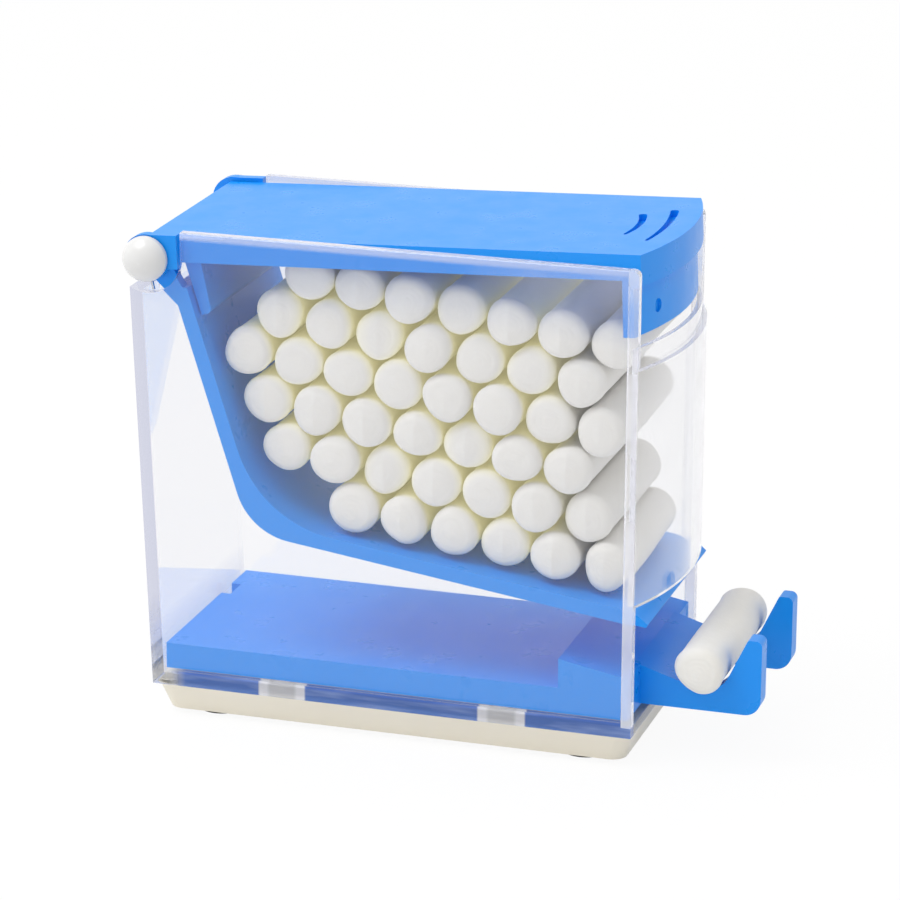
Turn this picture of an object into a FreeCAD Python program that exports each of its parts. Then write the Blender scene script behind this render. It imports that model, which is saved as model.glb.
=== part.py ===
import FreeCAD, Part
import math
import os
import Sketcher

Vector = FreeCAD.Vector

# Cotton roll dispenser: a clear box on an ivory base. A hopper full of rolls hangs from a pin at
# the rear top edge, under a hinged lid. Pressing the lid swings the hopper back, its front lip
# drops below the front window, and one roll falls on the tray and rolls into the cradle outside.
# Sizes are in millimetres from the case's own corner: x = 0 is the rear face, y = 0 the middle,
# z = 0 the underside of the clear case. Every body's placement then carries it to the middle of
# the whole object's footprint, with z = 0 on the table.

SIZES = [
    ("case_length", 100.0, "rear face to the front edge of the side walls"),
    ("case_width", 50.0, "over the two side walls"),
    ("case_height", 91.0, "underside to the top of the side walls"),
    ("case_wall", 2.0, "side walls, rear wall and floor"),
    ("case_corner", 1.2, "front upper corner of the side walls"),
    ("rear_lean", 3.7, "how far the foot of the rear wall stands in"),
    ("window_bottom", 26.0, "lower edge of the curved window"),
    ("window_top", 76.0, "upper edge of the curved window"),
    ("window_wall", 2.0, "thickness of the window"),
    ("window_radius", 66.0, "outer radius of the window"),
    ("window_rim", 4.0, "height of the thinned upper rim"),
    ("window_rim_step", 1.0, "how far the rim stands back"),
    ("window_seat", 2.0, "depth of the front panel's side posts"),
    ("bond_gap", 0.05, "glue line round the front panel"),
    ("pin_x", 3.9, "hinge pin from the rear face"),
    ("pin_z", 85.6, "hinge pin height"),
    ("pin_diameter", 3.0, "steel hinge pin"),
    ("pin_play", 0.05, "radial play round the pin"),
    ("knuckle_radius", 2.9, "barrel of the case round the pin"),
    ("spring_room", 7.7, "from a side wall's inner face to the end of that barrel"),
    ("top_round", 0.5, "rounding of the side walls' outer top edge"),
    ("notch_radius", 6.8, "cut in the side walls for the lid's cheeks"),
    ("boss_diameter", 9.5, "screw bosses on the case floor"),
    ("boss_height", 2.8, "top of the bosses, which carry the tray"),
    ("screw_rear_x", 28.0, "rear pair of screws"),
    ("screw_front_ahead", -27.7, "front pair of screws, from the case's front edge"),
    ("screw_side_y", 17.0, "screws from the middle"),
    ("screw_hole", 3.0, "pilot hole in a boss"),
    ("screw_depth", 2.4, "depth of the pilot hole"),
    ("rib_height", 0.7, "two low ribs on the floor under the tray"),
    ("base_thickness", 5.5, "ivory base plate"),
    ("base_rear_x", 4.0, "rear edge of the base's top face"),
    ("base_front_ahead", -0.1, "front edge of the base's top face, from the case's"),
    ("base_side_inset", 0.4, "side edge of the base's top face, from the case's"),
    ("base_draft", 1.8, "how far the underside is drawn in all round"),
    ("base_corner", 3.0, "corner radius of the base"),
    ("screw_head", 5.0, "diameter of a screw's head"),
    ("screw_head_height", 1.8, "height of a screw's head"),
    ("screw_shank", 2.9, "diameter of a screw's shank"),
    ("screw_seat", 2.6, "depth of the counterbore in the base"),
    ("hole_play", 0.3, "clearance round heads and shanks, on diameter"),
    ("foot_diameter", 10.0, "rubber foot"),
    ("foot_height", 2.0, "rubber foot"),
    ("foot_recess", 1.0, "depth of a foot's seat in the base"),
    ("foot_rear_x", 15.0, "rear feet"),
    ("foot_front_ahead", -11.0, "front feet, from the case's front edge"),
    ("foot_side_y", 16.0, "feet from the middle"),
    ("side_play", 0.3, "between the side walls and what moves between them"),
    ("hopper_sheet", 2.8, "thickness of the hopper"),
    ("hopper_heel_x", 23.5, "where the outer faces of back and floor would meet"),
    ("hopper_heel_z", 32.6, "where the outer faces of back and floor would meet"),
    ("hopper_back_angle", 17.6, "lean of the back, from vertical"),
    ("hopper_floor_angle", 7.9, "fall of the floor, from level"),
    ("hopper_top_z", 80.0, "top of the back"),
    ("hopper_outer_bend", 12.5, "radius under the bend"),
    ("hopper_inner_bend", 23.0, "radius inside the bend"),
    ("lip_start_ahead", -4.5, "where the lip starts to round down"),
    ("lip_tip_ahead", 2.3, "front of the lip, from the case's front edge"),
    ("lip_nose", 0.6, "height of the lip's blunt edge"),
    ("lip_radius", 10.6, "rounding of the lip"),
    ("lug_radius", 2.9, "eye of a hopper lug round the pin"),
    ("lug_thickness", 2.5, "thickness of a hopper lug"),
    ("lid_tilt", 2.5, "rise of the closed lid, in degrees"),
    ("lid_top", 3.75, "top face above the pin, square to the lid"),
    ("lid_plate", 2.0, "thickness of the lid"),
    ("lid_rear", -0.8, "rear edge of the plate, from the pin"),
    ("lid_rear_round", 0.5, "rounding of that edge"),
    ("lid_hollow", 3.15, "hollow under the plate round the barrel"),
    ("lid_shoulder", 5.2, "rear ends of the side skirts, from the pin"),
    ("lid_front_inset", 0.2, "front corners of the lid, from the case's front edge"),
    ("lid_front_radius", 66.0, "outer curve of the lid's edge"),
    ("lid_band", 6.0, "height of the lid's front edge band"),
    ("lid_skirt_step", 1.2, "how far the front skirt stands back"),
    ("lid_skirt", 15.5, "top face to the lower edge of the front skirt"),
    ("lid_side_skirt", 4.75, "top face to the lower edge of the side skirts"),
    ("cheek_radius", 4.6, "round end of a lid cheek"),
    ("cheek_front", 6.2, "front of a cheek from the pin"),
    ("cheek_bottom", 2.0, "foot of a cheek below the pin"),
    ("cheek_top", 4.5, "top of a cheek above the pin"),
    ("tab_inset", 2.2, "side of the pusher tab, from the lid's"),
    ("tab_reach", 13.7, "length of the tab, from the pin down"),
    ("tab_root", 3.6, "thickness at its root"),
    ("tab_tip", 2.1, "thickness at its tip"),
    ("tab_gap", 0.3, "between the tab and the hopper's back"),
    ("slot_near_width", 0.7, "finger slots in the lid, at their near ends"),
    ("slot_far_width", 1.7, "finger slots, at their far ends"),
    ("slot_depth", 1.3, "finger slots"),
    ("slot_front_reach", 5.5, "front slot behind the lid's front curve"),
    ("slot_rear_reach", 10.7, "rear slot behind the lid's front curve"),
    ("slot_front_length", 23.0, "front slot"),
    ("slot_rear_length", 15.0, "rear slot"),
    ("slot_bow", 1.0, "rise of the slots' curve"),
    ("dimple_diameter", 2.6, "gate mark in the front skirt"),
    ("dimple_depth", 0.4, "gate mark"),
    ("dimple_side", 15.0, "gate mark from the middle"),
    ("dimple_drop", 11.3, "gate mark below the lid's top"),
    ("cap_diameter", 8.8, "domed cap on each end of the pin"),
    ("cap_rim", 0.9, "height of the cap's straight edge"),
    ("cap_height", 3.9, "height of the cap"),
    ("cap_bore_depth", 1.8, "how far the pin goes into a cap"),
    ("cap_gap", 0.3, "between a cap and the cheek"),
    ("spring_wire", 0.6, "return spring wire"),
    ("spring_radius", 2.6, "mean radius of the return spring"),
    ("spring_pitch", 1.05, "pitch of its turns"),
    ("spring_turns", 3.0, "whole turns between its two legs"),
    ("spring_leg_z", 78.0, "lower end of the spring's legs"),
    ("spring_gap", 0.7, "between a leg and what it bears on when pressed"),
    ("tray_rear_x", 6.0, "rear edge of the tray"),
    ("tray_front_ahead", -1.0, "front face of the ramp block"),
    ("tray_gap", 0.1, "between the tray and the bosses"),
    ("tray_thickness", 5.1, "thickness of the tray's plate"),
    ("tray_side_gap", 0.5, "between the tray and a side wall"),
    ("tray_notch_y", 11.0, "middle of the notch in the tray's rear edge"),
    ("tray_notch_width", 6.0, "notch"),
    ("tray_notch_depth", 2.0, "notch"),
    ("ramp_ahead", -14.8, "rear face of the ramp block, from the case's front edge"),
    ("ramp_z", 13.8, "top of that face"),
    ("ramp_angle", 10.6, "fall of the ramp"),
    ("fork_width", 30.0, "over the two arms outside the case"),
    ("fork_arm", 4.0, "thickness of an arm"),
    ("fork_throat_ahead", 4.0, "rear end of the gap between the arms"),
    ("fork_throat_corner", 4.0, "rounding of that end"),
    ("fork_bottom_z", 3.5, "underside of the arms"),
    ("fork_front_ahead", 22.6, "front of the arms, from the case's front edge"),
    ("fork_top_z", 18.5, "top of the horns"),
    ("fork_slope", 17.1, "fall of the arms towards the cradle"),
    ("fork_horn", 65.0, "lean of the horns' inner face, from level"),
    ("fork_toe", 3.2, "rounding of the front lower corner"),
    ("cradle_ahead", 11.5, "middle of the roll in the cradle, from the case's front"),
    ("cradle_z", 12.9, "middle of the roll in the cradle"),
    ("cradle_gap", 0.3, "between that roll and the cradle"),
    ("roll_diameter", 9.8, "cotton roll"),
    ("roll_length", 40.0, "cotton roll"),
    ("roll_pitch", 10.05, "spacing of the rolls along a row"),
    ("row_pitch", 8.65, "spacing of the rows"),
    ("row_angle", 7.8, "fall of the rows, from level"),
    ("roll_gap", 0.2, "least gap between a roll and the plastic"),
    ("first_roll_x", 53.2, "a roll of the bottom row"),
    ("first_row_lift", 0.4, "extra height of that roll over the hopper floor"),
    ("row_count", 6.0, "rows of rolls in the hopper"),
]


class Size:
    """A number together with the sheet formula that gives it."""

    def __init__(self, value, formula):
        self.value = value
        self.formula = formula

    def __add__(self, other):
        other = as_size(other)
        return Size(self.value + other.value, f"({self.formula} + {other.formula})")

    def __sub__(self, other):
        other = as_size(other)
        return Size(self.value - other.value, f"({self.formula} - {other.formula})")

    def __mul__(self, other):
        other = as_size(other)
        return Size(self.value * other.value, f"({self.formula} * {other.formula})")

    def __truediv__(self, other):
        other = as_size(other)
        return Size(self.value / other.value, f"({self.formula} / {other.formula})")

    def __neg__(self):
        return Size(-self.value, f"(-1 * {self.formula})")

    def __radd__(self, other):
        return as_size(other) + self

    def __rsub__(self, other):
        return as_size(other) - self

    def __rmul__(self, other):
        return as_size(other) * self


def as_size(number):
    if isinstance(number, Size):
        return number
    return Size(float(number), f"{float(number):.6f}")


def cosine(angle):
    return Size(math.cos(math.radians(angle.value)), f"cos({angle.formula})")


def sine(angle):
    return Size(math.sin(math.radians(angle.value)), f"sin({angle.formula})")


def tangent(angle):
    return sine(angle) / cosine(angle)


def root(number):
    return Size(math.sqrt(number.value), f"sqrt({number.formula})")


class Sheet:
    """Gives each named size of the spreadsheet as an attribute."""


doc = FreeCAD.newDocument("CottonRollDispenser")
table = doc.addObject("Spreadsheet::Sheet", "Sizes")
s = Sheet()
for line, (alias, number, note) in enumerate(SIZES, start=1):
    table.set(f"A{line}", alias.replace("_", " "))
    table.set(f"B{line}", str(number))
    table.set(f"C{line}", note)
    table.setAlias(f"B{line}", alias)
    setattr(s, alias, Size(number, f"Sizes.{alias}"))
doc.recompute()

# Places that are measured from the case's front edge, so that they move with it
for alias, number, note in SIZES:
    if alias.endswith("_ahead"):
        place = alias.replace("_ahead", "_x")
        setattr(s, place, s.case_length + Size(number, f"Sizes.{alias}"))

# Places that several pieces share
inner_half = s.case_width / 2 - s.case_wall
moving_half = inner_half - s.side_play
bow_x = s.case_length - root(s.window_radius * s.window_radius - s.case_width * s.case_width / 4)
barrel_length = (inner_half - s.spring_room) * 2
lid_bow_x = s.case_length - s.pin_x - s.lid_front_inset
lid_bow_x = lid_bow_x - root(s.lid_front_radius * s.lid_front_radius - moving_half * moving_half)
back = s.hopper_back_angle
floor_fall = s.hopper_floor_angle
bodies = {}


def bind(thing, name, size):
    """Set a property and tie it to its sheet formula."""
    setattr(thing, name, size.value)
    if "Sizes" in size.formula:
        thing.setExpression(name, size.formula)


def new_body(node, label, turn=None, x=None, z=None):
    """Start a sub-part whose own frame is the case's corner, or a point (x, z) above it."""
    body = doc.addObject("PartDesign::Body", node)
    body.Label = label
    body.AllowCompound = True
    turn = FreeCAD.Rotation() if turn is None else turn
    place(body, turn, as_size(0) if x is None else x, as_size(0), as_size(0) if z is None else z)
    bodies[node] = body
    return body


def place(item, turn, x, y, z):
    """Put a sub-part at a point of the case, and tie it there."""
    x = x - (s.fork_front_x - (s.cheek_radius - s.pin_x)) / 2
    z = z + s.base_thickness + s.foot_height - s.foot_recess
    item.Placement = FreeCAD.Placement(Vector(x.value, y.value, z.value), turn)
    for axis, size in zip("xyz", (x, y, z)):
        if "Sizes" in size.formula:
            item.setExpression(f"Placement.Base.{axis}", size.formula)


def new_sketch(body, name, plane, lift=None):
    """Add a sketch on one of the body's own planes, moved along the plane's normal by lift."""
    sketch = body.newObject("Sketcher::SketchObject", f"{body.Name}_{name}")
    support = [item for item in body.Origin.OriginFeatures if item.Role == plane][0]
    sketch.AttachmentSupport = (support, [""])
    sketch.MapMode = "FlatFace"
    if lift is not None:
        sketch.AttachmentOffset = FreeCAD.Placement(Vector(0, 0, lift.value), FreeCAD.Rotation())
        if "Sizes" in lift.formula:
            sketch.setExpression("AttachmentOffset.Base.z", lift.formula)
    return sketch


def tie(sketch, kind, place, size):
    """Add a dimension to a sketch and tie it to the sheet."""
    number = sketch.addConstraint(Sketcher.Constraint(kind, *place, size.value))
    if "Sizes" in size.formula:
        sketch.setExpression(f"Constraints[{number}]", size.formula)


def tie_point(sketch, piece, end, x, y):
    tie(sketch, "DistanceX", (-1, 1, piece, end), x)
    tie(sketch, "DistanceY", (-1, 1, piece, end), y)


def arc_centre(start, finish, radius, left):
    """Centre of the arc from start to finish that turns left or right, under half a circle."""
    chord = finish - start
    side = 1.0 if left else -1.0
    normal = Vector(-chord.y, chord.x, 0) * (side / chord.Length)
    reach = math.sqrt(max(radius * radius - chord.Length * chord.Length / 4, 0.0))
    return (start + finish) * 0.5 + normal * reach


def draw(sketch, corners):
    """Draw a closed outline and tie each corner to the sheet.

    A corner is (x, y), (x, y, "round", radius) or (x, y, "left" or "right", radius). The last two
    make the side that leaves the corner an arc of that radius, turning to that hand.
    """
    corners = [tuple(as_size(n) if i < 2 else n for i, n in enumerate(c)) for c in corners]
    count = len(corners)
    points = [Vector(c[0].value, c[1].value, 0) for c in corners]
    starts = list(points)
    ends = list(points)
    for i, corner in enumerate(corners):
        if len(corner) > 2 and corner[2] == "round":
            before = (points[i - 1] - points[i]).normalize()
            after = (points[(i + 1) % count] - points[i]).normalize()
            reach = corner[3].value / math.tan(before.getAngle(after) / 2)
            ends[i] = points[i] + before * reach
            starts[i] = points[i] + after * reach
    sides = []
    for i, corner in enumerate(corners):
        start = starts[i]
        finish = ends[(i + 1) % count]
        if len(corner) > 2 and corner[2] in ("left", "right"):
            sides.append(add_arc(sketch, start, finish, corner[3], corner[2] == "left"))
        else:
            line = sketch.addGeometry(Part.LineSegment(start, finish), False)
            sides.append((line, 1, 2))
    for i, corner in enumerate(corners):
        last = sides[i - 1]
        this = sides[i]
        if len(corner) > 2 and corner[2] == "round":
            left = (points[i] - points[i - 1]).cross(points[(i + 1) % count] - points[i]).z > 0
            arc = add_arc(sketch, ends[i], starts[i], corner[3], left)
            sketch.addConstraint(Sketcher.Constraint("Tangent", last[0], last[2], arc[0], arc[1]))
            sketch.addConstraint(Sketcher.Constraint("Tangent", arc[0], arc[2], this[0], this[1]))
            mark = sketch.addGeometry(Part.Point(points[i]), True)
            tie_point(sketch, mark, 1, corner[0], corner[1])
            sketch.addConstraint(Sketcher.Constraint("PointOnObject", mark, 1, last[0]))
            sketch.addConstraint(Sketcher.Constraint("PointOnObject", mark, 1, this[0]))
        else:
            sketch.addConstraint(
                Sketcher.Constraint("Coincident", last[0], last[2], this[0], this[1])
            )
            tie_point(sketch, this[0], this[1], corner[0], corner[1])


def add_arc(sketch, start, finish, radius, left):
    """Add an arc and give its number and the ends where it starts and finishes."""
    centre = arc_centre(start, finish, radius.value, left)
    circle = Part.Circle(centre, Vector(0, 0, 1), radius.value)
    first = math.atan2((start - centre).y, (start - centre).x)
    last = math.atan2((finish - centre).y, (finish - centre).x)
    if not left:
        first, last = last, first
    arc = sketch.addGeometry(Part.ArcOfCircle(circle, first, last), False)
    tie(sketch, "Radius", (arc,), radius)
    return (arc, 1, 2) if left else (arc, 2, 1)


def draw_circle(sketch, x, y, diameter):
    middle = Vector(x.value, y.value, 0)
    circle = Part.Circle(middle, Vector(0, 0, 1), diameter.value / 2)
    number = sketch.addGeometry(circle, False)
    tie(sketch, "Diameter", (number,), diameter)
    tie_point(sketch, number, 3, x, y)


def four_circles(sketch, rear_x, front_x, side_y, diameter):
    for x in (rear_x, front_x):
        for y in (side_y, -side_y):
            draw_circle(sketch, x, y, diameter)


def pad(body, sketch, length, symmetric=False, downward=False):
    """Add material over a length, to one side of the sketch or half to each."""
    feature = body.newObject("PartDesign::Pad", sketch.Name + "_pad")
    feature.Profile = sketch
    bind(feature, "Length", length)
    feature.SideType = "Symmetric" if symmetric else "One side"
    feature.Reversed = downward
    doc.recompute()
    return feature


def pocket(body, sketch, length, symmetric=False, upward=False):
    """Take material away and make sure that some was there."""
    before = body.Shape.Volume
    feature = body.newObject("PartDesign::Pocket", sketch.Name + "_pocket")
    feature.Profile = sketch
    bind(feature, "Length", length)
    feature.SideType = "Symmetric" if symmetric else "One side"
    feature.Reversed = upward
    doc.recompute()
    if body.Shape.Volume > before - 0.01:
        raise ValueError(f"{sketch.Name} cuts nothing")
    return feature


def dress(body, kind, name, size, wanted):
    """Fillet or chamfer the edges of the body's last feature that pass the test."""
    tip = body.Tip
    edges = [f"Edge{i}" for i, edge in enumerate(tip.Shape.Edges, start=1) if wanted(edge)]
    if not edges:
        raise ValueError(f"{name} finds no edge")
    feature = body.newObject(f"PartDesign::{kind}", f"{body.Name}_{name}")
    feature.Base = (tip, edges)
    bind(feature, "Radius" if kind == "Fillet" else "Size", size)
    doc.recompute()


def near(a, b, reach=0.01):
    return abs(a - b) < reach


def lies(edge, axis, value):
    """Say whether a whole edge lies at one value of an axis."""
    box = edge.BoundBox
    low = getattr(box, axis + "Min")
    high = getattr(box, axis + "Max")
    return near(low, value) and near(high, value)


def rear_face(z):
    """Outer face of the rear wall at a height."""
    return s.rear_lean * (1 - z / s.case_height)


def hopper_back_x(z):
    """Outer face of the hopper's back at a height."""
    return s.hopper_heel_x - (z - s.hopper_heel_z) * tangent(back)


def hopper_floor_z(x):
    """Underside of the hopper's floor."""
    return s.hopper_heel_z - (x - s.hopper_heel_x) * tangent(floor_fall)


# One clear moulding: a floor, a leaning rear wall, two side walls with a notch for the lid's
# cheeks, a barrel for the hinge pin, four screw bosses and two low ribs under the tray.
def make_clear_case():
    body = new_body("clear_case", "Clear case")
    block = new_sketch(body, "outline", "XZ_Plane")
    seat_x = s.case_length - s.window_seat
    draw(block, [
        (s.rear_lean, 0),
        (s.case_length, 0),
        (s.case_length, s.case_wall),
        (seat_x, s.case_wall),
        (seat_x, s.case_height),
        (0, s.case_height),
    ])
    pad(body, block, s.case_width, symmetric=True)

    inside = new_sketch(body, "inside", "XZ_Plane")
    above = s.case_height + 5
    ahead = s.case_length + 5
    draw(inside, [
        (rear_face(s.case_wall) + s.case_wall, s.case_wall),
        (ahead, s.case_wall),
        (ahead, above),
        (rear_face(above) + s.case_wall, above),
    ])
    pocket(body, inside, inner_half * 2, symmetric=True)

    notch = new_sketch(body, "notch", "XZ_Plane")
    draw(notch, [
        (s.pin_x - s.notch_radius, s.pin_z, "left", s.notch_radius * 1.000001),
        (s.pin_x + s.notch_radius, s.pin_z),
        (s.pin_x + s.notch_radius, above),
        (s.pin_x - s.notch_radius, above),
    ])
    pocket(body, notch, s.case_width + 5, symmetric=True)

    web = new_sketch(body, "web", "XZ_Plane")
    web_foot = s.pin_z - s.notch_radius - 2
    neck_z = s.pin_z - s.knuckle_radius * 0.85
    draw(web, [
        (rear_face(web_foot), web_foot),
        (rear_face(web_foot) + s.case_wall, web_foot),
        (s.pin_x, neck_z),
        (rear_face(neck_z), neck_z),
    ])
    pad(body, web, barrel_length, symmetric=True)
    barrel = new_sketch(body, "barrel", "XZ_Plane")
    draw_circle(barrel, s.pin_x, s.pin_z, s.knuckle_radius * 2)
    pad(body, barrel, barrel_length, symmetric=True)
    bore = new_sketch(body, "bore", "XZ_Plane")
    draw_circle(bore, s.pin_x, s.pin_z, s.pin_diameter + s.pin_play * 2)
    pocket(body, bore, barrel_length + 5, symmetric=True)
    half = s.case_width.value / 2
    dress(body, "Fillet", "top_round", s.top_round,
          lambda edge: lies(edge, "Z", s.case_height.value)
          and (lies(edge, "Y", half) or lies(edge, "Y", -half)))

    bosses = new_sketch(body, "bosses", "XY_Plane")
    four_circles(bosses, s.screw_rear_x, s.screw_front_x, s.screw_side_y, s.boss_diameter)
    pad(body, bosses, s.boss_height)
    holes = new_sketch(body, "holes", "XY_Plane")
    four_circles(holes, s.screw_rear_x, s.screw_front_x, s.screw_side_y, s.screw_hole)
    pocket(body, holes, s.screw_depth, upward=True)
    ribs = new_sketch(body, "ribs", "XY_Plane", lift=s.case_wall - 0.2)
    for rib_x, rib_length in ((s.tray_rear_x + 1.0, 1.6), (s.ramp_x + 5.0, 5.5)):
        draw(ribs, [
            (rib_x, -s.screw_side_y),
            (rib_x + rib_length, -s.screw_side_y),
            (rib_x + rib_length, s.screw_side_y),
            (rib_x, s.screw_side_y),
        ])
    pad(body, ribs, s.rib_height + 0.2)


def bow(radius, y):
    """Place on a front curve at a distance from the middle."""
    return bow_x + root(radius * radius - y * y)


def window_outline(sketch, inset):
    """Plan of the bowed window, with its outer curve standing back by an inset."""
    half = s.case_width / 2
    seat_x = s.case_length - s.window_seat + s.bond_gap
    outer = s.window_radius - inset
    inner = s.window_radius - s.window_wall
    draw(sketch, [
        (bow(outer, half), -half, "left", outer),
        (bow(outer, half), half),
        (seat_x, half),
        (seat_x, inner_half),
        (bow(inner, inner_half), inner_half, "right", inner),
        (bow(inner, inner_half), -inner_half),
        (seat_x, -inner_half),
        (seat_x, -half),
    ])


# The clear front panel: a curved window with a thinned upper rim, between two posts that are
# bonded to the front ends of the side walls and stand on the case's floor.
def make_front_window():
    body = new_body("front_window", "Front window")
    rim_z = s.window_top - s.window_rim
    panel = new_sketch(body, "panel", "XY_Plane", lift=s.window_bottom)
    window_outline(panel, as_size(0))
    pad(body, panel, rim_z - s.window_bottom)
    rim = new_sketch(body, "rim", "XY_Plane", lift=rim_z)
    window_outline(rim, s.window_rim_step)
    pad(body, rim, s.window_rim)
    seat_x = s.case_length - s.window_seat + s.bond_gap
    foot_z = s.case_wall + s.bond_gap
    for side, lift in (("near", inner_half), ("far", -s.case_width / 2)):
        post = new_sketch(body, side + "_post", "XZ_Plane", lift=lift)
        draw(post, [
            (seat_x, foot_z),
            (s.case_length, foot_z),
            (s.case_length, s.case_height, "round", s.case_corner),
            (seat_x, s.case_height),
        ])
        pad(body, post, s.case_wall)


# A steel pin through the lid's cheeks, the hopper's lugs, both springs and the case's barrel.
def make_hinge_pin():
    body = new_body("hinge_pin", "Hinge pin")
    disc = new_sketch(body, "section", "XZ_Plane")
    draw_circle(disc, s.pin_x, s.pin_z, s.pin_diameter)
    pad(body, disc, s.case_width + (s.cap_gap + s.cap_bore_depth) * 2 - 0.2, symmetric=True)


# Domed push-on caps, turned about the pin's own axis.
def make_pin_cap(node, label, side):
    turn = FreeCAD.Rotation(Vector(1, 0, 0), -90 * side)
    body = new_body(node, label, turn, s.pin_x, s.pin_z)
    middle_y = (s.case_width / 2 + s.cap_gap) * side
    bind_side = middle_y.formula
    body.Placement.Base = Vector(body.Placement.Base.x, middle_y.value, body.Placement.Base.z)
    body.setExpression("Placement.Base.y", bind_side)
    section = new_sketch(body, "section", "XZ_Plane")
    rim = s.cap_diameter / 2
    dome = s.cap_height - s.cap_rim
    bore = s.pin_diameter / 2 + s.pin_play
    draw(section, [
        (bore, 0),
        (rim, 0),
        (rim, s.cap_rim, "left", (rim * rim + dome * dome) / (2 * dome)),
        (0, s.cap_height),
        (0, s.cap_bore_depth),
        (bore, s.cap_bore_depth),
    ])
    turned = body.newObject("PartDesign::Revolution", node + "_turned")
    turned.Profile = section
    turned.ReferenceAxis = (section, ["V_Axis"])
    turned.Angle = 360
    doc.recompute()


def rounded_plate(sketch, grow):
    """The base's outline, drawn in or let out all round."""
    low_x = s.base_rear_x - grow
    high_x = s.base_front_x + grow
    half = s.case_width / 2 - s.base_side_inset + grow
    draw(sketch, [
        (low_x, -half, "round", s.base_corner),
        (high_x, -half, "round", s.base_corner),
        (high_x, half, "round", s.base_corner),
        (low_x, half, "round", s.base_corner),
    ])


# The ivory base: a drafted slab, screwed to the case from below, with four seats for feet.
def make_base():
    body = new_body("base", "Base")
    lower = new_sketch(body, "lower", "XY_Plane", lift=-s.base_thickness)
    rounded_plate(lower, -s.base_draft)
    upper = new_sketch(body, "upper", "XY_Plane")
    rounded_plate(upper, as_size(0))
    slab = body.newObject("PartDesign::AdditiveLoft", "base_slab")
    slab.Profile = lower
    slab.Sections = [upper]
    slab.Ruled = True
    doc.recompute()
    clear = new_sketch(body, "clearance", "XY_Plane", lift=-s.base_thickness)
    hole = s.screw_shank + s.hole_play
    four_circles(clear, s.screw_rear_x, s.screw_front_x, s.screw_side_y, hole)
    pocket(body, clear, s.base_thickness, upward=True)
    seats = new_sketch(body, "screw_seats", "XY_Plane", lift=-s.base_thickness)
    bore = s.screw_head + s.hole_play * 2
    four_circles(seats, s.screw_rear_x, s.screw_front_x, s.screw_side_y, bore)
    pocket(body, seats, s.screw_seat, upward=True)
    recess = new_sketch(body, "foot_seats", "XY_Plane", lift=-s.base_thickness)
    four_circles(recess, s.foot_rear_x, s.foot_front_x, s.foot_side_y,
                 s.foot_diameter + s.hole_play)
    pocket(body, recess, s.foot_recess, upward=True)


# Four rubber feet pressed in shallow seats.
def make_rubber_feet():
    body = new_body("rubber_feet", "Rubber feet")
    foot_z = s.foot_recess - s.base_thickness
    discs = new_sketch(body, "discs", "XY_Plane", lift=foot_z)
    four_circles(discs, s.foot_rear_x, s.foot_front_x, s.foot_side_y, s.foot_diameter)
    pad(body, discs, s.foot_height, downward=True)


# Four screws that hold the base to the case's bosses.
def make_case_screws():
    body = new_body("case_screws", "Case screws")
    seat_z = s.screw_seat - s.base_thickness
    heads = new_sketch(body, "heads", "XY_Plane", lift=seat_z)
    four_circles(heads, s.screw_rear_x, s.screw_front_x, s.screw_side_y, s.screw_head)
    pad(body, heads, s.screw_head_height, downward=True)
    shanks = new_sketch(body, "shanks", "XY_Plane", lift=seat_z)
    four_circles(shanks, s.screw_rear_x, s.screw_front_x, s.screw_side_y, s.screw_shank)
    pad(body, shanks, s.screw_depth - seat_z - 0.2)


def hopper_inner_corner():
    """Where the inner faces of the hopper's back and floor would meet."""
    reach = s.hopper_sheet / cosine(back + floor_fall)
    x = s.hopper_heel_x + reach * (cosine(floor_fall) - sine(back))
    z = s.hopper_heel_z + reach * (cosine(back) - sine(floor_fall))
    return x, z


# The hopper: a bent sheet with a rounded lip, hung from the pin by a lug at each side.
def make_hopper():
    body = new_body("hopper", "Hopper")
    profile = new_sketch(body, "profile", "XZ_Plane")
    inner_x, inner_z = hopper_inner_corner()
    across = s.hopper_sheet / cosine(back)
    up = s.hopper_sheet / cosine(floor_fall)
    tip_low_x = s.lip_tip_x - 0.3
    draw(profile, [
        (hopper_back_x(s.hopper_top_z), s.hopper_top_z),
        (s.hopper_heel_x, s.hopper_heel_z, "round", s.hopper_outer_bend),
        (tip_low_x, hopper_floor_z(tip_low_x)),
        (s.lip_tip_x, hopper_floor_z(s.lip_tip_x) + s.lip_nose, "left", s.lip_radius),
        (s.lip_start_x, hopper_floor_z(s.lip_start_x) + up),
        (inner_x, inner_z, "round", s.hopper_inner_bend),
        (hopper_back_x(s.hopper_top_z) + across, s.hopper_top_z),
    ])
    pad(body, profile, moving_half * 2, symmetric=True)

    low_z = s.hopper_top_z - 4.5
    high_z = s.hopper_top_z - 0.5
    inset = s.hopper_sheet / 4
    for side, lift in (("near", moving_half - s.lug_thickness), ("far", -moving_half)):
        arm = new_sketch(body, side + "_arm", "XZ_Plane", lift=lift)
        draw(arm, [
            (s.pin_x - s.lug_radius * 0.87, s.pin_z - s.lug_radius * 0.5),
            (hopper_back_x(low_z) + inset, low_z),
            (hopper_back_x(high_z) + across - inset, high_z),
            (s.pin_x + s.lug_radius * 0.96, s.pin_z + s.lug_radius * 0.2),
        ])
        pad(body, arm, s.lug_thickness)
        eye = new_sketch(body, side + "_eye", "XZ_Plane", lift=lift)
        draw_circle(eye, s.pin_x, s.pin_z, s.lug_radius * 2)
        pad(body, eye, s.lug_thickness)
    bore = new_sketch(body, "bore", "XZ_Plane")
    draw_circle(bore, s.pin_x, s.pin_z, s.pin_diameter + s.pin_play * 2)
    pocket(body, bore, s.case_width, symmetric=True)


def lid_front(radius, y):
    """Place on one of the lid's front curves, in the lid's own frame."""
    return lid_bow_x + root(radius * radius - y * y)


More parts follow.
